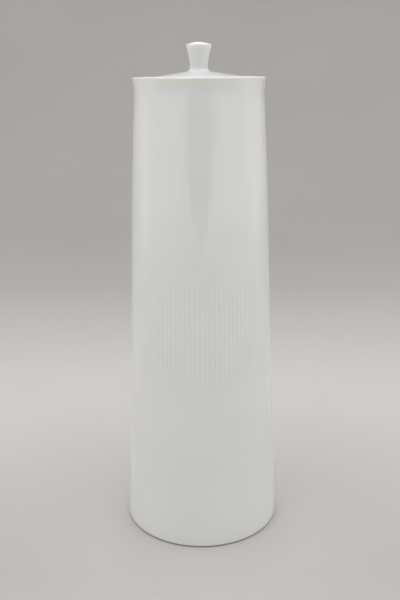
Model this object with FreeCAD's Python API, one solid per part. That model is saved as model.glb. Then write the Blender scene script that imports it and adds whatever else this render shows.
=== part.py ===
import FreeCAD, Part
import math
import os

# Tall porcelain storage jar with a lift-off lid.
# Millimetres, +Z up. The origin is the centre of the foot, on the table.
# Both pieces are round, so each is one outline turned about Z.

# Jar: outside
JAR_HEIGHT = 300.0         # table to the top of the lip
FOOT_RADIUS = 53.4         # outer wall just above the foot's rounded edge
WALL_LOW_PULL = 46.8       # radius that pulls the wall inwards above the foot
WALL_HIGH_PULL = 46.7      # radius that holds the wall out below the neck
NECK_RADIUS = 40.4         # outer wall where the flare to the lip begins
NECK_HEIGHT = 287.5
LIP_ROUND = 1.2            # radius of the lip's round section
LIP_OUTER_RADIUS = 41.3
LIP_LEAN = math.radians(9) # how far the flare leans outwards where it meets the lip

# Jar: foot
FOOT_GAP = 0.9             # from the table to the wall's lower edge
FOOT_EDGE_ROUND = 0.6
WALL_START = FOOT_GAP + FOOT_EDGE_ROUND
RING_SET_IN = 1.6          # how far the ring stands in from the wall's lower edge
RING_WIDTH = 3.8           # bare flat ring that stands on the table
RING_EDGE_ROUND = 0.3
FOOT_RECESS = 2.0          # height of the glazed recess inside the ring
RECESS_SLOPE = 1.6         # how far the recess's side leans inwards
RECESS_ROUND = 0.6         # both corners of the recess's side

# Jar: inside
WALL = 3.6
FLOOR = 4.2                # thickness over the recess
FLOOR_CORNER = 9.0         # reach of the rounded corner between wall and floor
THROAT_RADIUS = 35.2       # inside the ledge that carries the lid
THROAT_DROP = 11.0         # straight throat below the ledge
THROAT_BLEND = 14.0        # height over which the throat eases into the wall
LEDGE_HEIGHT = 295.0
LEDGE_CORNER_ROUND = 0.5
LEDGE_EDGE_ROUND = 0.7

# Lid: plate and collar
LID_EDGE_GAP = 0.85        # between the lid's edge and the inside of the rim
LID_EDGE_ROUND = 1.1
LID_SEAT_ROUND = 0.5
LID_SLOPE = 0.152          # rise of the lid's cone per unit of radius
LID_PLATE = 3.4            # height from the underside to the top of the cone
COLLAR_GAP = 1.0           # between the collar and the throat
COLLAR_WALL = 2.8
COLLAR_DROP = 8.0          # below the ledge
COLLAR_END_ROUND = 1.1
COLLAR_ROOT_ROUND = 2.0
SEAT_ROOT_ROUND = 0.6
CROWN_RADIUS = 9.0         # the underside domes up inside this radius
CROWN_RISE = 1.2

# Lid: knob
KNOB_ROOT_HEIGHT = 303.5   # where the lid's cone would meet the knob's neck
KNOB_NECK_RADIUS = 5.6
KNOB_NECK_HEIGHT = 306.0   # narrowest place, where the fillet ends
KNOB_FILLET = 2.7          # how far the fillet at the knob's root spreads
KNOB_RADIUS = 7.85
KNOB_LEAN = math.radians(15)
KNOB_EDGE_ROUND = 1.0
KNOB_DOME = 20.0           # radius of the dome on top
LID_TOP = 320.3


class Outline:
    """Edges drawn one after another in the half plane of radius and height."""

    def __init__(self, radius, height):
        self.pen = spot(radius, height)
        self.start = self.pen
        self.edges = []

    def line(self, radius, height):
        end = spot(radius, height)
        self.edges.append(Part.LineSegment(self.pen, end).toShape())
        self.pen = end

    def arc(self, middle, end):
        self.edges.append(Part.Arc(self.pen, middle, end).toShape())
        self.pen = end

    def curve(self, poles):
        """A Bezier curve through the pen, pulled by the poles and ending on the last."""
        bezier = Part.BezierCurve()
        bezier.setPoles([self.pen] + poles)
        self.edges.append(bezier.toShape())
        self.pen = poles[-1]

    def rounded(self, corner, towards, radius):
        """A straight run to a corner, and an arc that turns it towards the next point."""
        back = (self.pen - corner).normalize()
        ahead = (towards - corner).normalize()
        half_angle = back.getAngle(ahead) / 2
        reach = radius / math.tan(half_angle)
        inwards = (back + ahead).normalize()
        centre = corner + inwards * (radius / math.sin(half_angle))
        begin = corner + back * reach
        self.line(begin.x, begin.z)
        self.arc(centre - inwards * radius, corner + ahead * reach)

    def turned(self):
        """The closed outline, turned once about Z."""
        self.line(self.start.x, self.start.z)
        face = Part.Face(Part.Wire(self.edges))
        return face.revolve(FreeCAD.Vector(0, 0, 0), FreeCAD.Vector(0, 0, 1), 360)


def spot(radius, height):
    return FreeCAD.Vector(radius, 0, height)


def on_circle(centre, radius, angle):
    """The point of a circle at an angle above the horizontal."""
    return centre + spot(radius * math.cos(angle), radius * math.sin(angle))


def wall_curve(inset):
    """The wall's curve, moved towards the axis: four poles, evenly spaced in height."""
    radii = [FOOT_RADIUS, WALL_LOW_PULL, WALL_HIGH_PULL, NECK_RADIUS]
    step = (NECK_HEIGHT - WALL_START) / 3
    bezier = Part.BezierCurve()
    bezier.setPoles([spot(radius - inset, WALL_START + step * count)
                     for count, radius in enumerate(radii)])
    return bezier


def part_of_wall(inset, low, high):
    """Poles of the stretch of the wall's curve between two heights."""
    bezier = wall_curve(inset)
    span = NECK_HEIGHT - WALL_START
    bezier.segment((low - WALL_START) / span, (high - WALL_START) / span)
    return bezier.getPoles()


def rim_radius():
    """The inside of the rim, above the ledge."""
    return LIP_OUTER_RADIUS - 2 * LIP_ROUND


def draw_foot(outline):
    """From the recess round the ring, out under the wall's lower edge and round it."""
    ring_outer = FOOT_RADIUS - RING_SET_IN
    ring_inner = ring_outer - RING_WIDTH
    ring_corners = [spot(ring_inner, 0), spot(ring_outer, 0)]
    step = spot(ring_outer, FOOT_GAP)
    edge = spot(FOOT_RADIUS, FOOT_GAP)
    outline.rounded(spot(ring_inner - RECESS_SLOPE, FOOT_RECESS), ring_corners[0], RECESS_ROUND)
    outline.rounded(ring_corners[0], ring_corners[1], RECESS_ROUND)
    outline.rounded(ring_corners[1], step, RING_EDGE_ROUND)
    outline.rounded(step, edge, RING_EDGE_ROUND)
    outline.rounded(edge, spot(FOOT_RADIUS, WALL_START), FOOT_EDGE_ROUND)


def draw_wall_and_lip(outline):
    """The long wall, the flare above the neck, and the round lip."""
    poles = wall_curve(0).getPoles()
    outline.curve(poles[1:])
    lip_centre = spot(LIP_OUTER_RADIUS - LIP_ROUND, JAR_HEIGHT - LIP_ROUND)
    flare_end = on_circle(lip_centre, LIP_ROUND, -LIP_LEAN)
    wall_lean = (poles[3].x - poles[2].x) / (poles[3].z - poles[2].z)
    flare_lean = math.tan(LIP_LEAN)
    offset = outline.pen.x - flare_end.x + flare_lean * (flare_end.z - outline.pen.z)
    meeting = offset / (flare_lean - wall_lean)
    tangents_cross = outline.pen + spot(wall_lean * meeting, meeting)
    outline.curve([tangents_cross, flare_end])
    outline.arc(on_circle(lip_centre, LIP_ROUND, math.radians(90)),
                on_circle(lip_centre, LIP_ROUND, math.radians(180)))


def draw_inside(outline):
    """Down the rim, over the ledge, through the throat and down the wall to the floor."""
    rim = rim_radius()
    throat_bottom = LEDGE_HEIGHT - THROAT_DROP
    ledge_edge = spot(THROAT_RADIUS, LEDGE_HEIGHT)
    outline.rounded(spot(rim, LEDGE_HEIGHT), ledge_edge, LEDGE_CORNER_ROUND)
    outline.rounded(ledge_edge, spot(THROAT_RADIUS, throat_bottom), LEDGE_EDGE_ROUND)
    outline.line(THROAT_RADIUS, throat_bottom)

    floor = FOOT_RECESS + FLOOR
    wall = part_of_wall(WALL, floor + FLOOR_CORNER, throat_bottom - THROAT_BLEND)
    wall.reverse()
    upper_lean = (wall[1] - wall[0]).normalize()
    outline.curve([outline.pen - spot(0, THROAT_BLEND / 2),
                   wall[0] - upper_lean * (THROAT_BLEND / 2), wall[0]])
    outline.curve(wall[1:])
    lower_lean = (wall[3] - wall[2]).normalize()
    corner = wall[3] + lower_lean * (FLOOR_CORNER / abs(lower_lean.z))
    outline.curve([corner, corner - spot(FLOOR_CORNER, 0)])
    outline.line(0, floor)


def jar_body():
    outline = Outline(0, FOOT_RECESS)
    draw_foot(outline)
    draw_wall_and_lip(outline)
    draw_inside(outline)
    return outline.turned()


def lid_top_height(radius):
    """Height of the lid's cone, which runs into the root of the knob."""
    return KNOB_ROOT_HEIGHT - LID_SLOPE * (radius - KNOB_NECK_RADIUS)


def draw_lid_underside(outline):
    """From the axis out along the cone, round the collar and out to the lid's edge."""
    collar_outer = THROAT_RADIUS - COLLAR_GAP
    collar_inner = collar_outer - COLLAR_WALL
    collar_end = LEDGE_HEIGHT - COLLAR_DROP
    lid_edge = rim_radius() - LID_EDGE_GAP
    crown_end = spot(CROWN_RADIUS, lid_top_height(CROWN_RADIUS) - LID_PLATE)
    collar_root = spot(collar_inner, lid_top_height(collar_inner) - LID_PLATE)
    seat_root = spot(collar_outer, LEDGE_HEIGHT)
    edge_top = spot(lid_edge, lid_top_height(lid_edge))

    pull = CROWN_RADIUS / 3
    outline.curve([outline.pen + spot(pull, 0),
                   crown_end + spot(-pull, LID_SLOPE * pull),
                   crown_end])
    outline.rounded(collar_root, spot(collar_inner, collar_end), COLLAR_ROOT_ROUND)
    outline.rounded(spot(collar_inner, collar_end), spot(collar_outer, collar_end), COLLAR_END_ROUND)
    outline.rounded(spot(collar_outer, collar_end), seat_root, COLLAR_END_ROUND)
    outline.rounded(seat_root, spot(lid_edge, LEDGE_HEIGHT), SEAT_ROOT_ROUND)
    outline.rounded(spot(lid_edge, LEDGE_HEIGHT), edge_top, LID_SEAT_ROUND)
    outline.rounded(edge_top, spot(CROWN_RADIUS, lid_top_height(CROWN_RADIUS)), LID_EDGE_ROUND)


def draw_knob(outline):
    """Up the cone, the fillet, the flaring side, the rounded edge and the dome."""
    fillet_start = KNOB_NECK_RADIUS + KNOB_FILLET
    outline.line(fillet_start, lid_top_height(fillet_start))
    neck = spot(KNOB_NECK_RADIUS, KNOB_NECK_HEIGHT)
    outline.curve([spot(KNOB_NECK_RADIUS, lid_top_height(KNOB_NECK_RADIUS)), neck])

    edge_radius = KNOB_RADIUS - KNOB_EDGE_ROUND
    dome_centre = spot(0, LID_TOP - KNOB_DOME)
    dome_lean = math.acos(edge_radius / (KNOB_DOME - KNOB_EDGE_ROUND))
    edge_centre = on_circle(dome_centre, KNOB_DOME - KNOB_EDGE_ROUND, dome_lean)
    side_end = on_circle(edge_centre, KNOB_EDGE_ROUND, -KNOB_LEAN)
    tangents_cross = side_end.z - (side_end.x - neck.x) / math.tan(KNOB_LEAN)
    outline.curve([spot(KNOB_NECK_RADIUS, tangents_cross), side_end])
    outline.arc(on_circle(edge_centre, KNOB_EDGE_ROUND, dome_lean / 2),
                on_circle(edge_centre, KNOB_EDGE_ROUND, dome_lean))
    outline.arc(on_circle(dome_centre, KNOB_DOME, (dome_lean + math.pi / 2) / 2),
                spot(0, LID_TOP))


def lid():
    outline = Outline(0, lid_top_height(0) - LID_PLATE + CROWN_RISE)
    draw_lid_underside(outline)
    draw_knob(outline)
    return outline.turned()


os.makedirs("parts", exist_ok=True)
for node, shape in (("jar_body", jar_body()), ("lid", lid())):
    shape.exportStep(f"parts/{node}.step")
    box = shape.BoundBox
    print(f"{node}: {len(shape.Solids)} solid, valid {shape.isValid()}, "
          f"{shape.Volume / 1000:.1f} cm3, radius {box.XMax:.2f}, "
          f"height {box.ZMin:.2f} to {box.ZMax:.2f}")
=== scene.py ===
import math

import bpy
import numpy as np
from mathutils import Matrix, Vector


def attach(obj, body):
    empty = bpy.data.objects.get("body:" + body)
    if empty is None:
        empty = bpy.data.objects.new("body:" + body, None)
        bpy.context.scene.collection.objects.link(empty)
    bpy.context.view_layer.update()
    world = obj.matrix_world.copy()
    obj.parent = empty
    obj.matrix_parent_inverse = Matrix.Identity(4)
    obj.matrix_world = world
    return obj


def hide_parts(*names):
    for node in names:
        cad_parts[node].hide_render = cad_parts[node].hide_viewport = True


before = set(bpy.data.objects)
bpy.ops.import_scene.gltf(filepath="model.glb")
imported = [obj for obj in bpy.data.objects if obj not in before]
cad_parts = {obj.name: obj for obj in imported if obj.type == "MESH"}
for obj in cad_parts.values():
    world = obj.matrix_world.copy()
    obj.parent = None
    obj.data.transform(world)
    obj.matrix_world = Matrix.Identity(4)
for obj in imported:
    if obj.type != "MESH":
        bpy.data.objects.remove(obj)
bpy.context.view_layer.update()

# Tall porcelain storage jar with a lift-off lid, standing on a pale sweep.
# Sizes are in metres. The axis is +Z and the origin is the centre of the foot.

MM = 0.001

# Jar: outside
JAR_HEIGHT = 300.0 * MM
FOOT_RADIUS = 53.4 * MM
WALL_LOW_PULL = 46.8 * MM
WALL_HIGH_PULL = 46.7 * MM
NECK_RADIUS = 40.4 * MM
NECK_HEIGHT = 287.5 * MM
LIP_ROUND = 1.2 * MM
LIP_OUTER_RADIUS = 41.3 * MM
LIP_LEAN = math.radians(9)

# Jar: foot
FOOT_GAP = 0.9 * MM
FOOT_EDGE_ROUND = 0.6 * MM
WALL_START = FOOT_GAP + FOOT_EDGE_ROUND
RING_SET_IN = 1.6 * MM
RING_WIDTH = 3.8 * MM
RING_EDGE_ROUND = 0.3 * MM
FOOT_RECESS = 2.0 * MM
RECESS_SLOPE = 1.6 * MM
RECESS_ROUND = 0.6 * MM

# Jar: inside
WALL = 3.6 * MM
FLOOR = 4.2 * MM
FLOOR_CORNER = 9.0 * MM
THROAT_RADIUS = 35.2 * MM
THROAT_DROP = 11.0 * MM
THROAT_BLEND = 14.0 * MM
LEDGE_HEIGHT = 295.0 * MM
LEDGE_CORNER_ROUND = 0.5 * MM
LEDGE_EDGE_ROUND = 0.7 * MM

# Lid
LID_EDGE_GAP = 0.85 * MM
LID_EDGE_ROUND = 1.1 * MM
LID_SEAT_ROUND = 0.5 * MM
LID_SLOPE = 0.152
LID_PLATE = 3.4 * MM
COLLAR_GAP = 1.0 * MM
COLLAR_WALL = 2.8 * MM
COLLAR_DROP = 8.0 * MM
COLLAR_END_ROUND = 1.1 * MM
COLLAR_ROOT_ROUND = 2.0 * MM
SEAT_ROOT_ROUND = 0.6 * MM
CROWN_RADIUS = 9.0 * MM
CROWN_RISE = 1.2 * MM
KNOB_ROOT_HEIGHT = 303.5 * MM
KNOB_NECK_RADIUS = 5.6 * MM
KNOB_NECK_HEIGHT = 306.0 * MM
KNOB_FILLET = 2.7 * MM
KNOB_RADIUS = 7.85 * MM
KNOB_LEAN = math.radians(15)
KNOB_EDGE_ROUND = 1.0 * MM
KNOB_DOME = 20.0 * MM
LID_TOP = 320.3 * MM

# Fine upright flutes pressed into the wall, which fade out above and below
FLUTES = 96
FLUTE_DEPTH = 0.08 * MM
FLUTE_TURN = math.radians(1.1)
FLUTES_LOW = 112.0 * MM
FLUTES_HIGH = 184.0 * MM
FLUTES_FADE = 18.0 * MM

# Mesh: points round the axis, and how close the points next to a rounded corner stand
ROUND_STEPS = 6 * FLUTES
LID_STEPS = 256
SWEEP_STEPS = 180
CORNER_HEM = 0.12 * MM


class Outline:
    """A profile to be turned about Z: rows of radius and height, drawn stretch by stretch."""

    def __init__(self, radius, height):
        self.rows = np.array([[radius, height]])

    def pen(self):
        return self.rows[-1]

    def add(self, points):
        self.rows = np.vstack([self.rows, points])

    def line(self, radius, height, count=1):
        """Evenly spaced points on a straight run, with a close one just after its start and
        just before its end, so that shading stays flat up to the rounded corners."""
        start, end = self.pen(), np.array([radius, height])
        length = np.linalg.norm(end - start)
        if length < 1e-9:
            return
        hem = min(CORNER_HEM / length, 0.2)
        share = np.linspace(hem, 1 - hem, count + 1)
        share = np.append(share, 1)[:, None]
        self.add(start * (1 - share) + end * share)

    def arc(self, centre, radius, start, end, count):
        """Points at even angles from just after the start angle to the end angle."""
        angle = np.linspace(start, end, count + 1)[1:]
        self.add(np.array(centre) + radius * np.stack([np.cos(angle), np.sin(angle)], 1))

    def curve(self, poles, count):
        """A Bezier curve from the pen: each pole is weighted by its Bernstein polynomial."""
        poles = np.vstack([self.pen(), poles])
        self.add(bezier(poles, np.linspace(0, 1, count + 1)[1:]))

    def rounded(self, corner, towards, radius, count=5, run=1):
        """A straight run to a corner, then the arc that turns it towards the next point."""
        corner, towards = np.array(corner), np.array(towards)
        back = unit(self.pen() - corner)
        ahead = unit(towards - corner)
        half_angle = math.acos(np.clip(back @ ahead, -1, 1)) / 2
        reach = radius / math.tan(half_angle)
        centre = corner + unit(back + ahead) * radius / math.sin(half_angle)
        first, last = corner + back * reach, corner + ahead * reach
        self.line(*first, run)
        start = math.atan2(*(first - centre)[::-1])
        turn = math.atan2(*(last - centre)[::-1]) - start
        turn = (turn + math.pi) % (2 * math.pi) - math.pi
        self.arc(centre, radius, start, start + turn, count)


def unit(vector):
    return vector / np.linalg.norm(vector)


def bezier(poles, share):
    """Points of a Bezier curve: the sum of its poles times their Bernstein polynomials."""
    degree = len(poles) - 1
    weights = [math.comb(degree, k) * share ** k * (1 - share) ** (degree - k)
               for k in range(degree + 1)]
    return np.stack(weights, 1) @ poles


def on_circle(centre, radius, angle):
    return np.array(centre) + radius * np.array([math.cos(angle), math.sin(angle)])


def wall_poles(inset):
    """The wall's four Bezier poles, evenly spaced in height, moved towards the axis."""
    radii = np.array([FOOT_RADIUS, WALL_LOW_PULL, WALL_HIGH_PULL, NECK_RADIUS]) - inset
    return np.stack([radii, np.linspace(WALL_START, NECK_HEIGHT, 4)], 1)


def rim_radius():
    return LIP_OUTER_RADIUS - 2 * LIP_ROUND


def draw_foot(outline):
    """From the recess round the ring, out under the wall's lower edge and round it."""
    ring_outer = FOOT_RADIUS - RING_SET_IN
    ring_inner = ring_outer - RING_WIDTH
    ring_corners = [(ring_inner, 0), (ring_outer, 0)]
    step = (ring_outer, FOOT_GAP)
    edge = (FOOT_RADIUS, FOOT_GAP)
    recess_corner = (ring_inner - RECESS_SLOPE, FOOT_RECESS)
    outline.rounded(recess_corner, ring_corners[0], RECESS_ROUND, 3, 2)
    outline.rounded(ring_corners[0], ring_corners[1], RECESS_ROUND, 3)
    outline.rounded(ring_corners[1], step, RING_EDGE_ROUND, 3)
    outline.rounded(step, edge, RING_EDGE_ROUND, 3)
    outline.rounded(edge, (FOOT_RADIUS, WALL_START), FOOT_EDGE_ROUND, 6)


def draw_wall_and_lip(outline):
    poles = wall_poles(0)
    outline.curve(poles[1:], 46)
    lip_centre = np.array([LIP_OUTER_RADIUS - LIP_ROUND, JAR_HEIGHT - LIP_ROUND])
    flare_end = on_circle(lip_centre, LIP_ROUND, -LIP_LEAN)
    wall_lean = (poles[3, 0] - poles[2, 0]) / (poles[3, 1] - poles[2, 1])
    flare_lean = math.tan(LIP_LEAN)
    width, height = outline.pen() - flare_end
    meeting = (width - flare_lean * height) / (flare_lean - wall_lean)
    tangents_cross = outline.pen() + np.array([wall_lean * meeting, meeting])
    outline.curve([tangents_cross, flare_end], 9)
    outline.arc(lip_centre, LIP_ROUND, -LIP_LEAN, math.pi, 11)


def draw_inside(outline):
    rim = rim_radius()
    throat_bottom = LEDGE_HEIGHT - THROAT_DROP
    ledge_edge = (THROAT_RADIUS, LEDGE_HEIGHT)
    outline.rounded((rim, LEDGE_HEIGHT), ledge_edge, LEDGE_CORNER_ROUND, 3)
    outline.rounded(ledge_edge, (THROAT_RADIUS, throat_bottom), LEDGE_EDGE_ROUND, 4)
    outline.line(THROAT_RADIUS, throat_bottom)

    floor = FOOT_RECESS + FLOOR
    heights = np.array([throat_bottom - THROAT_BLEND, floor + FLOOR_CORNER])
    share = (heights - WALL_START) / (NECK_HEIGHT - WALL_START)
    wall = bezier(wall_poles(WALL), np.linspace(share[0], share[1], 13))
    upper_lean = unit(wall[1] - wall[0])
    outline.curve([outline.pen() - [0, THROAT_BLEND / 2],
                   wall[0] - upper_lean * THROAT_BLEND / 2, wall[0]], 8)
    outline.add(wall[1:])
    lower_lean = unit(wall[-1] - wall[-2])
    corner = wall[-1] + lower_lean * FLOOR_CORNER / abs(lower_lean[1])
    outline.curve([corner, corner - [FLOOR_CORNER, 0]], 8)
    outline.line(0, floor, 3)


def jar_outline():
    outline = Outline(0, FOOT_RECESS)
    draw_foot(outline)
    draw_wall_and_lip(outline)
    draw_inside(outline)
    return outline.rows


def lid_top_height(radius):
    return KNOB_ROOT_HEIGHT - LID_SLOPE * (radius - KNOB_NECK_RADIUS)


def draw_lid_underside(outline):
    collar_outer = THROAT_RADIUS - COLLAR_GAP
    collar_inner = collar_outer - COLLAR_WALL
    collar_end = LEDGE_HEIGHT - COLLAR_DROP
    lid_edge = rim_radius() - LID_EDGE_GAP
    crown_end = np.array([CROWN_RADIUS, lid_top_height(CROWN_RADIUS) - LID_PLATE])
    collar_root = (collar_inner, lid_top_height(collar_inner) - LID_PLATE)
    seat_root = (collar_outer, LEDGE_HEIGHT)
    edge_top = (lid_edge, lid_top_height(lid_edge))
    pull = CROWN_RADIUS / 3
    outline.curve([outline.pen() + [pull, 0], crown_end + [-pull, LID_SLOPE * pull], crown_end], 10)
    outline.rounded(collar_root, (collar_inner, collar_end), COLLAR_ROOT_ROUND, 8, 6)
    outline.rounded((collar_inner, collar_end), (collar_outer, collar_end), COLLAR_END_ROUND, 6, 3)
    outline.rounded((collar_outer, collar_end), seat_root, COLLAR_END_ROUND, 6)
    outline.rounded(seat_root, (lid_edge, LEDGE_HEIGHT), SEAT_ROOT_ROUND, 5, 3)
    outline.rounded((lid_edge, LEDGE_HEIGHT), edge_top, LID_SEAT_ROUND, 5, 2)
    outline.rounded(edge_top, (0, lid_top_height(0)), LID_EDGE_ROUND, 7)


def draw_knob(outline):
    fillet_start = KNOB_NECK_RADIUS + KNOB_FILLET
    outline.line(fillet_start, lid_top_height(fillet_start), 12)
    neck = np.array([KNOB_NECK_RADIUS, KNOB_NECK_HEIGHT])
    outline.curve([(KNOB_NECK_RADIUS, lid_top_height(KNOB_NECK_RADIUS)), neck], 12)

    edge_radius = KNOB_RADIUS - KNOB_EDGE_ROUND
    dome_centre = (0, LID_TOP - KNOB_DOME)
    dome_lean = math.acos(edge_radius / (KNOB_DOME - KNOB_EDGE_ROUND))
    edge_centre = on_circle(dome_centre, KNOB_DOME - KNOB_EDGE_ROUND, dome_lean)
    side_end = on_circle(edge_centre, KNOB_EDGE_ROUND, -KNOB_LEAN)
    tangents_cross = side_end[1] - (side_end[0] - neck[0]) / math.tan(KNOB_LEAN)
    outline.curve([(KNOB_NECK_RADIUS, tangents_cross), side_end], 16)
    outline.arc(edge_centre, KNOB_EDGE_ROUND, -KNOB_LEAN, dome_lean, 10)
    outline.arc(dome_centre, KNOB_DOME, dome_lean, math.pi / 2, 10)


def lid_outline():
    outline = Outline(0, lid_top_height(0) - LID_PLATE + CROWN_RISE)
    draw_lid_underside(outline)
    draw_knob(outline)
    return outline.rows


def turned_mesh(name, rows, steps, radial_shift=None, turn=0.0):
    """The surface of two parameters, row and angle: each row of the outline goes once round
    Z. Both ends lie on the axis and are single points, closed with fans of triangles."""
    angle = np.linspace(0, 2 * math.pi, steps, endpoint=False) + turn
    radius = np.repeat(rows[1:-1, 0:1], steps, axis=1)
    height = np.repeat(rows[1:-1, 1:2], steps, axis=1)
    if radial_shift is not None:
        radius = radius + radial_shift(rows[1:-1], angle)
    ring_points = np.stack([radius * np.cos(angle), radius * np.sin(angle), height], 2)
    ends = [[0, 0, rows[0, 1]], [0, 0, rows[-1, 1]]]
    points = np.vstack([ring_points.reshape(-1, 3), ends])

    rings = len(rows) - 2
    grid = np.arange(rings * steps).reshape(rings, steps)
    ahead = np.roll(grid, -1, axis=1)
    quads = np.stack([grid[:-1], ahead[:-1], ahead[1:], grid[1:]], 2).reshape(-1, 4)
    first, last = rings * steps, rings * steps + 1
    start_fan = np.stack([np.full(steps, first), ahead[0], grid[0]], 1)
    end_fan = np.stack([np.full(steps, last), grid[-1], ahead[-1]], 1)
    faces = quads.tolist() + start_fan.tolist() + end_fan.tolist()

    mesh = bpy.data.meshes.new(name)
    mesh.from_pydata(points.tolist(), [], faces)
    mesh.polygons.foreach_set("use_smooth", np.ones(len(faces), bool))
    mesh.update()
    piece = bpy.data.objects.new(name, mesh)
    bpy.context.scene.collection.objects.link(piece)
    return piece


def smooth_step(value, low, high):
    share = np.clip((value - low) / (high - low), 0, 1)
    return share * share * (3 - 2 * share)


def flutes(rows, angle):
    """Inward shift of the wall: narrow grooves between flat ribs, each the square of half of
    one minus a cosine wave, times a share that rises and falls smoothly with height, times
    each groove's own small variation."""
    height = rows[:, 1]
    rise = smooth_step(height, FLUTES_LOW - FLUTES_FADE, FLUTES_LOW + FLUTES_FADE)
    fall = 1 - smooth_step(height, FLUTES_HIGH - FLUTES_FADE, FLUTES_HIGH + FLUTES_FADE)
    on_wall = np.arange(len(rows)) < np.argmax(height)
    own_depth = np.random.default_rng(7).uniform(0.7, 1.3, FLUTES)
    turns = (angle - FLUTE_TURN) * FLUTES / (2 * math.pi)
    groove = ((1 - np.cos(turns * 2 * math.pi)) / 2) ** 2
    depth = groove * own_depth[np.floor(turns + 1e-6).astype(int) % FLUTES]
    return -(FLUTE_DEPTH * on_wall * rise * fall)[:, None] * depth


# ---------------------------------------------------------------- finishes

def node(tree, kind, **settings):
    """A new shader node. Settings with a number, tuple or link go to the input of that name."""
    made = tree.nodes.new(kind)
    for key, value in settings.items():
        name = key.replace("_", " ")
        if hasattr(made, key) and name not in made.inputs:
            setattr(made, key, value)
        elif isinstance(value, bpy.types.NodeSocket):
            tree.links.new(value, made.inputs[name])
        else:
            made.inputs[name].default_value = value
    return made


def maths(tree, operation, first, second=0.0):
    made = tree.nodes.new("ShaderNodeMath")
    made.operation = operation
    for socket, value in zip(made.inputs, (first, second)):
        if isinstance(value, bpy.types.NodeSocket):
            tree.links.new(value, socket)
        else:
            socket.default_value = value
    return made.outputs[0]


def ramp(tree, factor, stops):
    """A colour ramp: stops are (place, colour or grey)."""
    made = tree.nodes.new("ShaderNodeValToRGB")
    tree.links.new(factor, made.inputs[0])
    elements = made.color_ramp.elements
    while len(elements) < len(stops):
        elements.new(0.5)
    for element, (place, colour) in zip(elements, stops):
        element.position = place
        grey = not hasattr(colour, "__len__")
        element.color = (colour,) * 3 + (1,) if grey else tuple(colour) + (1,)
    return made.outputs[0]


def mixed(tree, factor, first, second, blend="MIX"):
    made = tree.nodes.new("ShaderNodeMix")
    made.data_type = "RGBA"
    made.blend_type = blend
    sockets = [made.inputs[0], made.inputs[6], made.inputs[7]]
    for socket, value in zip(sockets, (factor, first, second)):
        if isinstance(value, bpy.types.NodeSocket):
            tree.links.new(value, socket)
        elif hasattr(value, "__len__"):
            socket.default_value = tuple(value) + (1,)
        else:
            socket.default_value = value
    return made.outputs[2]


def band(tree, value, low, high, soft):
    """1 between low and high, falling to 0 over a soft edge on each side."""
    up = node(tree, "ShaderNodeMapRange", Value=value, interpolation_type="SMOOTHSTEP",
              From_Min=low - soft, From_Max=low + soft).outputs[0]
    down = node(tree, "ShaderNodeMapRange", Value=value, interpolation_type="SMOOTHSTEP",
                From_Min=high - soft, From_Max=high + soft, To_Min=1.0, To_Max=0.0).outputs[0]
    return maths(tree, "MULTIPLY", up, down)


def new_material(name):
    material = bpy.data.materials.new(name)
    material.use_nodes = True
    tree = material.node_tree
    tree.nodes.clear()
    output = tree.nodes.new("ShaderNodeOutputMaterial")
    shader = tree.nodes.new("ShaderNodeBsdfPrincipled")
    tree.links.new(shader.outputs[0], output.inputs[0])
    place = tree.nodes.new("ShaderNodeTexCoord").outputs["Object"]
    return material, tree, shader, place


PORCELAIN_SHADE = (0.775, 0.795, 0.785)
PORCELAIN_WHITE = (0.800, 0.818, 0.812)
# A warm reflection of the floor, painted on the glaze under the lip and on the knob's top edge
PAINTED_FLOOR_REFLECTION = (0.800, 0.808, 0.748)
# Greyer tint of the grooves: partly glaze pooled there, partly painted shade
POOLED_GLAZE_AND_GROOVE_SHADE = (0.945, 0.952, 0.948)
# Painted shade that darkens the knob's neck
KNOB_PAINTED_SHADE = (0.915, 0.930, 0.915)
SPECK_BROWN = (0.42, 0.38, 0.32)
SPECK_SHARE = 0.07
SPECK_DENSITY = 0.35
CLAY_DARK = (0.62, 0.60, 0.56)
CLAY_LIGHT = (0.74, 0.725, 0.69)
CLAY_ROUGHNESS = (0.72, 0.72, 0.72)
GLAZE_ROUGHNESS = (0.055, 0.095)
GLAZE_IOR = 1.52
UNDER_GLAZE_GLOW = 0.12
GLOW_DEPTH = 2.0 * MM


def glaze_and_shade_in_grooves(tree, axes):
    """Greyer tint in the grooves, partly glaze that pools there and partly painted shade:
    strongest where the cosine of the flutes' angle is lowest, and only as high up the wall as
    the grooves go."""
    angle = maths(tree, "ARCTAN2", axes.outputs[1], axes.outputs[0])
    wave = maths(tree, "MULTIPLY", maths(tree, "SUBTRACT", angle, FLUTE_TURN), float(FLUTES))
    dip = maths(tree, "MULTIPLY", maths(tree, "SUBTRACT", 1.0, maths(tree, "COSINE", wave)), 0.5)
    pool = maths(tree, "POWER", dip, 2.5)
    reach = band(tree, axes.outputs[2], FLUTES_LOW, FLUTES_HIGH, FLUTES_FADE)
    return mixed(tree, maths(tree, "MULTIPLY", pool, reach), (1.0, 1.0, 1.0), POOLED_GLAZE_AND_GROOVE_SHADE)


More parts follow.
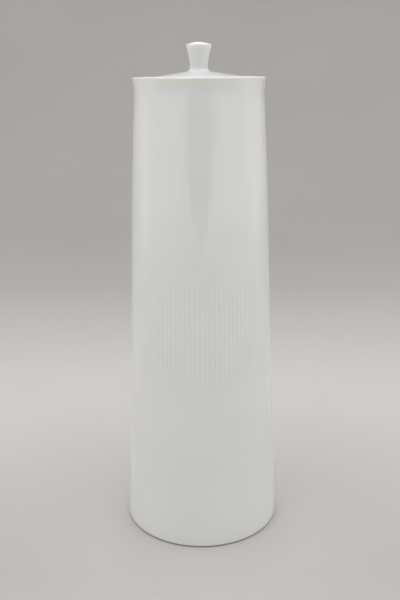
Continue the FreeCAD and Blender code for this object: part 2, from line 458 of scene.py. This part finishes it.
def porcelain(name, painted_reflection_bands, bare, painted_shade_bands=(), fluted=False):
    """White porcelain under a clear glaze. The first list of bands gives heights where a warm
    reflection of the floor is painted under a rounded edge, the second heights where shade is
    painted on the knob's neck; bare gives the radii and heights left unglazed."""
    material, tree, shader, place = new_material(name)
    axes = node(tree, "ShaderNodeSeparateXYZ", Vector=place)
    height = axes.outputs[2]
    flat = node(tree, "ShaderNodeCombineXYZ", X=axes.outputs[0], Y=axes.outputs[1])
    radius = node(tree, "ShaderNodeVectorMath", operation="LENGTH")
    tree.links.new(flat.outputs[0], radius.inputs[0])
    radius = radius.outputs["Value"]

    cloud = node(tree, "ShaderNodeTexNoise", Vector=place, Scale=22.0, Detail=3.0).outputs[0]
    colour = ramp(tree, cloud, [(0.3, PORCELAIN_SHADE), (0.7, PORCELAIN_WHITE)])
    # Warm reflection of the floor, painted in bands under rounded edges
    for low, high, soft in painted_reflection_bands:
        edge = band(tree, height, low, high, soft)
        colour = mixed(tree, edge, colour, PAINTED_FLOOR_REFLECTION)
    # Painted shade on the knob's neck
    for low, high, soft in painted_shade_bands:
        colour = mixed(tree, band(tree, height, low, high, soft), colour, KNOB_PAINTED_SHADE, "MULTIPLY")
    # The grooves tinted greyer: partly glaze pooled there, partly painted shade
    if fluted:
        colour = mixed(tree, 1.0, colour, glaze_and_shade_in_grooves(tree, axes), "MULTIPLY")

    cells = node(tree, "ShaderNodeTexVoronoi", Vector=place, Scale=90.0)
    near = node(tree, "ShaderNodeMapRange", Value=cells.outputs["Distance"],
                From_Min=0.010, From_Max=0.022, To_Min=1.0, To_Max=0.0).outputs[0]
    lottery = node(tree, "ShaderNodeSeparateXYZ", Vector=cells.outputs["Color"]).outputs[0]
    chosen = maths(tree, "GREATER_THAN", lottery, 1 - SPECK_SHARE)
    speck = maths(tree, "MULTIPLY", near, chosen)
    colour = mixed(tree, maths(tree, "MULTIPLY", speck, SPECK_DENSITY), colour, SPECK_BROWN)

    ring = band(tree, radius, bare["inner"], bare["outer"], 0.15 * MM)
    layer = band(tree, height, bare["low"], bare["high"], 0.12 * MM)
    bare_here = maths(tree, "MULTIPLY", ring, layer)
    grit = node(tree, "ShaderNodeTexNoise", Vector=place, Scale=2200.0, Detail=4.0).outputs[0]
    clay = ramp(tree, grit, [(0.35, CLAY_DARK), (0.65, CLAY_LIGHT)])
    colour = mixed(tree, bare_here, colour, clay)
    tree.links.new(colour, shader.inputs["Base Color"])

    smear = node(tree, "ShaderNodeTexNoise", Vector=place, Scale=60.0, Detail=4.0).outputs[0]
    gloss = node(tree, "ShaderNodeMapRange", Value=smear, From_Min=0.3, From_Max=0.7,
                 To_Min=GLAZE_ROUGHNESS[0], To_Max=GLAZE_ROUGHNESS[1]).outputs[0]
    rough = mixed(tree, bare_here, gloss, CLAY_ROUGHNESS)
    tree.links.new(rough, shader.inputs["Roughness"])

    peel = node(tree, "ShaderNodeTexNoise", Vector=place, Scale=420.0, Detail=2.0).outputs[0]
    swell = node(tree, "ShaderNodeTexNoise", Vector=place, Scale=45.0, Detail=1.0).outputs[0]
    relief = maths(tree, "ADD", maths(tree, "MULTIPLY", peel, 0.12), swell)
    relief = mixed(tree, bare_here, relief, grit)
    bump = node(tree, "ShaderNodeBump", Height=relief, Strength=0.10, Distance=0.25 * MM)
    tree.links.new(bump.outputs[0], shader.inputs["Normal"])

    shader.inputs["IOR"].default_value = GLAZE_IOR
    shader.inputs["Subsurface Weight"].default_value = UNDER_GLAZE_GLOW
    shader.inputs["Subsurface Radius"].default_value = (0.9, 0.8, 0.6)
    shader.inputs["Subsurface Scale"].default_value = GLOW_DEPTH
    return material


# Bands, as low end, high end and softness of each: a warm reflection of the floor painted under the
# lip and on the knob's top edge, and shade painted on the knob's neck
PAINTED_REFLECTION_UNDER_LIP = [(296.0 * MM, 298.9 * MM, 1.2 * MM)]
PAINTED_REFLECTION_ON_KNOB_EDGE = [(317.2 * MM, 318.9 * MM, 0.8 * MM)]
PAINTED_SHADE_ON_KNOB_NECK = [(305.5 * MM, 316.0 * MM, 1.2 * MM)]
BARE_FOOT_TOP = 0.7 * MM


def jar_body_piece():
    piece = turned_mesh("jar_wall_and_foot", jar_outline(), ROUND_STEPS, flutes, FLUTE_TURN)
    ring_outer = FOOT_RADIUS - RING_SET_IN
    bare = {"inner": ring_outer - RING_WIDTH - RING_EDGE_ROUND, "outer": ring_outer + 0.5 * MM,
            "low": -1 * MM, "high": BARE_FOOT_TOP}
    jar_glaze = porcelain("jar_glaze", PAINTED_REFLECTION_UNDER_LIP, bare, fluted=True)
    piece.data.materials.append(jar_glaze)
    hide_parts("jar_body")
    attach(piece, "jar")
    return piece


def lid_piece():
    piece = turned_mesh("lid_plate_and_knob", lid_outline(), LID_STEPS)
    bare = {"inner": THROAT_RADIUS - COLLAR_GAP, "outer": rim_radius(),
            "low": LEDGE_HEIGHT - 0.5 * MM, "high": LEDGE_HEIGHT + 0.3 * MM}
    lid_glaze = porcelain("lid_glaze", PAINTED_REFLECTION_ON_KNOB_EDGE, bare, PAINTED_SHADE_ON_KNOB_NECK)
    piece.data.materials.append(lid_glaze)
    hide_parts("lid")
    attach(piece, "lid")
    return piece


# ---------------------------------------------------------------- studio

SWEEP_FLAT = 0.62
SWEEP_WALL = 1.55
SWEEP_HEIGHT = 1.9
SWEEP_BELOW_FOOT = 0.05 * MM

# The paper's grey by how far back plus how high it is, in metres: painted light and shade, lightest
# just behind the jar and greyer up the wall
PAPER_TINT = np.array([1.0, 0.965, 0.935])
PAPER_PAINTED_LIGHT = [(-0.35, 0.66), (-0.12, 0.48), (-0.08, 0.462), (0.08, 0.52), (0.16, 0.545),
               (0.25, 0.53), (0.38, 0.46), (0.56, 0.385), (0.82, 0.353), (1.50, 0.362), (2.00, 0.39)]
PAPER_SPAN = (-0.40, 3.0)
# A pool of light painted on the paper under the jar, which lightens the floor where the jar's shadow
# falls
PAINTED_LIGHT_POOL_BACK = -0.06
PAINTED_LIGHT_POOL_REACH = 0.085
PAINTED_LIGHT_POOL_GAIN = 0.22


def sweep_piece():
    """The studio floor: flat near the jar, then curving up into a wall all round."""
    outline = Outline(0, 0)
    outline.line(SWEEP_FLAT, 0, 24)
    outline.curve([(SWEEP_WALL, 0), (SWEEP_WALL, SWEEP_WALL - SWEEP_FLAT)], 40)
    outline.line(SWEEP_WALL, SWEEP_HEIGHT, 6)
    rows = outline.rows.copy()
    rows[:, 1] -= SWEEP_BELOW_FOOT
    angle = np.linspace(0, 2 * math.pi, SWEEP_STEPS, endpoint=False)
    rings = rows[1:]
    points = np.stack([rings[:, :1] * np.cos(angle), rings[:, :1] * np.sin(angle),
                       np.repeat(rings[:, 1:2], SWEEP_STEPS, axis=1)], 2).reshape(-1, 3)
    points = np.vstack([points, [[0, 0, rows[0, 1]]]])
    grid = np.arange(len(rings) * SWEEP_STEPS).reshape(len(rings), SWEEP_STEPS)
    ahead = np.roll(grid, -1, axis=1)
    quads = np.stack([ahead[:-1], ahead[1:], grid[1:], grid[:-1]], 2).reshape(-1, 4)
    fan = np.stack([np.full(SWEEP_STEPS, len(points) - 1), grid[0], ahead[0]], 1)
    mesh = bpy.data.meshes.new("sweep")
    mesh.from_pydata(points.tolist(), [], quads.tolist() + fan.tolist())
    mesh.polygons.foreach_set("use_smooth", np.ones(len(mesh.polygons), bool))
    sweep = bpy.data.objects.new("sweep", mesh)
    bpy.context.scene.collection.objects.link(sweep)
    sweep.data.materials.append(sweep_paper())
    return sweep


def sweep_paper():
    """Matt pale paper with painted light and shade, lightest just behind the jar and greyer up the
    wall, faintly cloudy. A pool of light painted under the jar fades as the exponential of minus
    its distance squared."""
    material, tree, shader, place = new_material("sweep_paper")
    axes = node(tree, "ShaderNodeSeparateXYZ", Vector=place)
    # Painted light and shade: the paper's grey by how far back plus how high it is
    along = maths(tree, "ADD", axes.outputs[1], axes.outputs[2])
    share = node(tree, "ShaderNodeMapRange", Value=along, From_Min=PAPER_SPAN[0],
                 From_Max=PAPER_SPAN[1]).outputs[0]
    span = PAPER_SPAN[1] - PAPER_SPAN[0]
    stops = [((reach - PAPER_SPAN[0]) / span, tuple(PAPER_TINT * grey))
             for reach, grey in PAPER_PAINTED_LIGHT]
    cloud = node(tree, "ShaderNodeTexNoise", Vector=place, Scale=5.0, Detail=3.0).outputs[0]
    cloudy = ramp(tree, cloud, [(0.3, 0.975), (0.7, 1.0)])
    tone = mixed(tree, 1.0, ramp(tree, share, stops), cloudy, "MULTIPLY")

    # Painted pool of light under the jar
    middle = node(tree, "ShaderNodeCombineXYZ", Y=PAINTED_LIGHT_POOL_BACK)
    away = node(tree, "ShaderNodeVectorMath", operation="DISTANCE")
    tree.links.new(place, away.inputs[0])
    tree.links.new(middle.outputs[0], away.inputs[1])
    reach = maths(tree, "DIVIDE", away.outputs["Value"], PAINTED_LIGHT_POOL_REACH)
    squared = maths(tree, "MULTIPLY", reach, reach)
    fade = maths(tree, "EXPONENT", maths(tree, "MULTIPLY", squared, -1.0))
    gain = maths(tree, "ADD", maths(tree, "MULTIPLY", fade, PAINTED_LIGHT_POOL_GAIN), 1.0)
    bright = node(tree, "ShaderNodeVectorMath", operation="SCALE")
    tree.links.new(tone, bright.inputs[0])
    tree.links.new(gain, bright.inputs["Scale"])
    tree.links.new(bright.outputs[0], shader.inputs["Base Color"])
    shader.inputs["Roughness"].default_value = 0.95
    shader.inputs["Specular IOR Level"].default_value = 0.1
    return material


def glow_panel(name, place, aim, width, height, strength):
    """A soft light: a clear flat panel that glows most in its middle and fades to nothing at
    its edges, as (1 - across squared) squared times (1 - up squared) squared. The camera
    doesn't see it, so that it shows only as light and in the glaze."""
    across, up = np.meshgrid([-width / 2, width / 2], [-height / 2, height / 2])
    corners = np.stack([across.ravel(), up.ravel(), np.zeros(4)], 1)
    mesh = bpy.data.meshes.new(name)
    mesh.from_pydata(corners.tolist(), [], [(0, 1, 3, 2)])
    panel = bpy.data.objects.new(name, mesh)
    panel.location = place
    panel.rotation_euler = (Vector(aim) - Vector(place)).to_track_quat("Z", "Y").to_euler()
    panel.visible_camera = False
    bpy.context.scene.collection.objects.link(panel)

    material = bpy.data.materials.new(name)
    material.use_nodes = True
    tree = material.node_tree
    tree.nodes.clear()
    place = tree.nodes.new("ShaderNodeTexCoord").outputs["Object"]
    axes = node(tree, "ShaderNodeSeparateXYZ", Vector=place)
    glow = strength
    for axis, size in ((0, width), (1, height)):
        share = maths(tree, "DIVIDE", axes.outputs[axis], size / 2)
        fade = maths(tree, "SUBTRACT", 1.0, maths(tree, "MULTIPLY", share, share))
        fade = maths(tree, "MAXIMUM", fade, 0.0)
        glow = maths(tree, "MULTIPLY", maths(tree, "MULTIPLY", fade, fade), glow)
    emission = node(tree, "ShaderNodeEmission", Color=(1.0, 1.0, 1.0, 1.0), Strength=glow)
    clear = node(tree, "ShaderNodeBsdfTransparent")
    both = tree.nodes.new("ShaderNodeAddShader")
    tree.links.new(emission.outputs[0], both.inputs[0])
    tree.links.new(clear.outputs[0], both.inputs[1])
    output = tree.nodes.new("ShaderNodeOutputMaterial")
    tree.links.new(both.outputs[0], output.inputs[0])
    mesh.materials.append(material)
    return panel


CARD_BACK = -0.62
CARD_WIDTH = 0.44
CARD_LOW = 0.11
CARD_TOP = 0.85
CARD_ROWS = 41
CARD_COLUMNS = 25
CARD_GREY = (0.11, 0.11, 0.12, 1)


def shade_card():
    """A dark card with a round lower end, stood in front of the jar, which darkens the middle
    of the jar's front and shows in its glaze. Each row's half width is a circle's below the
    round end's centre, and the card's own above it. The camera doesn't see it."""
    half = CARD_WIDTH / 2
    height = np.linspace(0, 1, CARD_ROWS) ** 1.5 * (CARD_TOP - CARD_LOW)
    below = np.clip(half - height, 0, None)
    spread = np.sqrt(half ** 2 - below ** 2)[:, None] * np.linspace(-1, 1, CARD_COLUMNS)
    rows = np.stack([spread, np.full_like(spread, CARD_BACK),
                     np.repeat(height[:, None] + CARD_LOW, CARD_COLUMNS, 1)], 2)
    grid = np.arange(CARD_ROWS * CARD_COLUMNS).reshape(CARD_ROWS, CARD_COLUMNS)
    quads = np.stack([grid[:-1, :-1], grid[1:, :-1], grid[1:, 1:], grid[:-1, 1:]], 2)
    mesh = bpy.data.meshes.new("shade_card")
    mesh.from_pydata(rows.reshape(-1, 3).tolist(), [], quads.reshape(-1, 4).tolist())
    card = bpy.data.objects.new("shade_card", mesh)
    card.visible_camera = False
    bpy.context.scene.collection.objects.link(card)
    material, _, shader, _ = new_material("shade_card")
    shader.inputs["Base Color"].default_value = CARD_GREY
    shader.inputs["Roughness"].default_value = 0.9
    mesh.materials.append(material)


AIR_COLOUR = (0.985, 0.99, 1.0, 1)
AIR_STRENGTH = 1.93


def studio_light():
    """Six glow panels and an even bright surround. The low front glow shows only in the glaze."""
    glow_panel("back_high_glow", (0, 1.1, 1.15), (0, 0, 0.25), 1.8, 0.8, 2.30)
    glow_panel("left_glow", (-0.95, 0.10, 0.22), (0, 0.05, 0.1), 1.9, 1.3, 0.66)
    glow_panel("right_glow", (0.95, 0.10, 0.22), (0, 0.05, 0.1), 1.9, 1.3, 0.66)
    glow_panel("front_left_glow", (-0.75, -0.80, 0.28), (0, 0, 0.12), 1.3, 1.1, 0.55)
    glow_panel("front_right_glow", (0.75, -0.80, 0.28), (0, 0, 0.12), 1.3, 1.1, 0.58)
    low_glow = glow_panel("front_low_glow", (0, -0.95, -0.10), (0, 0, 0.12), 1.4, 0.9, 1.0)
    low_glow.visible_diffuse = False
    world = bpy.data.worlds.new("studio_air")
    world.use_nodes = True
    background = world.node_tree.nodes["Background"]
    background.inputs[0].default_value = AIR_COLOUR
    background.inputs[1].default_value = AIR_STRENGTH
    bpy.context.scene.world = world


CAMERA_DISTANCE = 0.473
CAMERA_HEIGHT = 0.3012
CAMERA_PITCH = math.radians(17.05)
CAMERA_ROLL = math.radians(0.45)
CAMERA_YAW = math.radians(0.05)
CAMERA_LENS = 44.1
CAMERA_SENSOR = 36.0
CAMERA_NEAR = 0.02


def camera():
    data = bpy.data.cameras.new("camera")
    data.lens = CAMERA_LENS
    data.sensor_width = CAMERA_SENSOR
    data.clip_start = CAMERA_NEAR
    seen_from = bpy.data.objects.new("camera", data)
    seen_from.location = (0, -CAMERA_DISTANCE, CAMERA_HEIGHT)
    tilt = Matrix.Rotation(math.pi / 2 - CAMERA_PITCH, 3, "X")
    roll = Matrix.Rotation(-CAMERA_ROLL, 3, "Z")
    yaw = Matrix.Rotation(CAMERA_YAW, 3, "Z")
    seen_from.rotation_euler = (yaw @ tilt @ roll).to_euler()
    bpy.context.scene.collection.objects.link(seen_from)
    bpy.context.scene.camera = seen_from


jar_body_piece()
lid_piece()
sweep_piece()
studio_light()
shade_card()
camera()
bpy.context.scene.view_settings.view_transform = "Standard"
